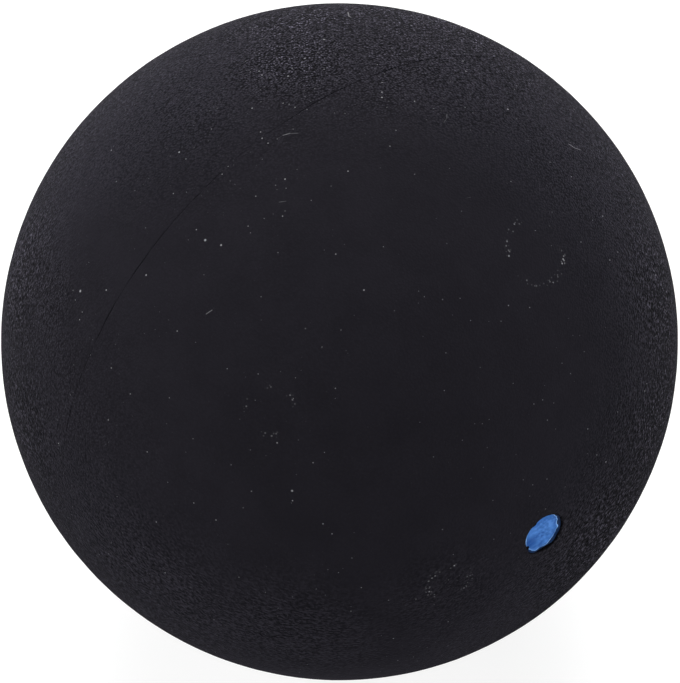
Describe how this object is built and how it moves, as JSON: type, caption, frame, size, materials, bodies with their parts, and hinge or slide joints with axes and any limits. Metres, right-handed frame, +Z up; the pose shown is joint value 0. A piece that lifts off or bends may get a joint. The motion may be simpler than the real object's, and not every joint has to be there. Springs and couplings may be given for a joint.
{
  "type": "squash ball",
  "caption": "Hollow black rubber ball made of half shells cemented edge to edge, with a drop of blue paint in a moulded dimple at one pole.",
  "frame": {"origin": "centre of the ball", "axes": "+Y and -Y are the ball's axis of revolution: the painted dimple is the pole that faces -Y, and the seam is the plane Y = 0. +Z is up as the ball lies in the picture, and +X is to the right of someone who looks along +Y."},
  "size_m": [0.04, 0.04, 0.04],
  "materials": {
    "shell_rubber": "matte",
    "rubber_cement": "satin",
    "blue_paint": "satin"
  },
  "bodies": {
    "root": {"dotted_half_shell": "shell_rubber", "plain_half_shell": "shell_rubber", "seam_cement": "rubber_cement", "blue_dot": "blue_paint"}
  },
  "joints": []
}
